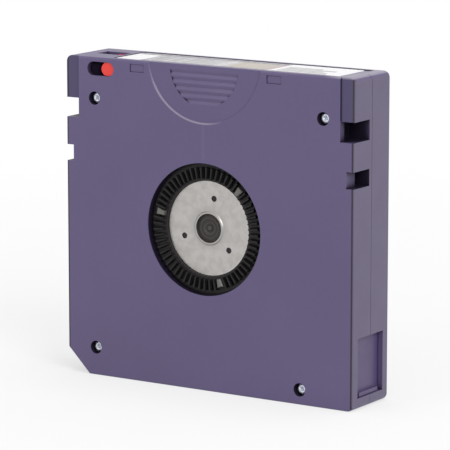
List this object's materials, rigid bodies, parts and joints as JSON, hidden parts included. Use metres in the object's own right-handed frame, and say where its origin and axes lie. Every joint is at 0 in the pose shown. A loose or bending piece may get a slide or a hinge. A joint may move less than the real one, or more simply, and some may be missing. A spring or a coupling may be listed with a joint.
{
  "type": "data tape cartridge",
  "caption": "Flat two-part case holding one reel of tape, with a sprung access door, a reel brake, a sliding write-protect tab and a toothed hub behind a round opening.",
  "frame": {"origin": "middle of the insertion edge that the cartridge stands on", "axes": "+X across the width, towards the side with the access door; +Y through the thickness, away from the face with the reel's opening; +Z along the length, towards the label edge"},
  "size_m": [0.1054, 0.0216, 0.102],
  "materials": {
    "case_plastic": "fine moulded texture",
    "door_plastic": "fine moulded texture",
    "screw_steel": "bright zinc plating",
    "label_paper": "matt coated paper",
    "red_plastic": "satin",
    "chip_board": "solder mask",
    "pin_steel": "turned",
    "grey_plastic": "natural moulded",
    "spring_steel": "drawn wire",
    "tape_film": "coated film",
    "black_plastic": "glass-filled moulding",
    "plate_steel": "turned, satin",
    "brake_plastic": "natural moulded"
  },
  "bodies": {
    "case": {"lower_shell": "case_plastic", "upper_shell": "case_plastic", "case_screws": "screw_steel", "rear_label": "label_paper", "memory_chip": "chip_board", "leader_pin": "pin_steel", "tape_clip": "grey_plastic", "lower_pin_clip": "spring_steel", "upper_pin_clip": "spring_steel", "leader_tape": "tape_film", "door_spring": "spring_steel", "brake_spring": "spring_steel"},
    "reel": {"reel_hub": "black_plastic", "upper_flange": "black_plastic", "clutch_plate": "plate_steel", "tape_pack": "tape_film"},
    "brake": {"brake": "brake_plastic"},
    "release": {"release_member": "grey_plastic"},
    "door": {"access_door": "door_plastic"},
    "tab": {"write_protect_tab": "red_plastic"}
  },
  "joints": [
    {"name": "reel_spin", "type": "hinge", "parent": "case", "child": "reel", "pos_m": [-0.001, 0, 0.051], "axis": [0, 1, 0], "continuous": true},
    {"name": "brake_lift", "type": "slide", "parent": "case", "child": "brake", "axis": [0, 1, 0], "range_m": [0, 0.0015], "stiffness_N_per_m": 900, "springref_m": -0.004, "deforming": ["brake_spring"]},
    {"name": "release_lift", "type": "slide", "parent": "reel", "child": "release", "axis": [0, 1, 0], "range_m": [0, 0.0015]},
    {"name": "door_slide", "type": "slide", "parent": "case", "child": "door", "axis": [0, 0, 1], "range_m": [0, 0.0165], "stiffness_N_per_m": 25, "springref_m": -0.006, "deforming": ["door_spring"]},
    {"name": "write_protect_slide", "type": "slide", "parent": "case", "child": "tab", "axis": [-1, 0, 0], "range_m": [0, 0.005]}
  ],
  "couplings": [
    {"joint": "release_lift", "follows": "brake_lift", "ratio": 1}
  ]
}
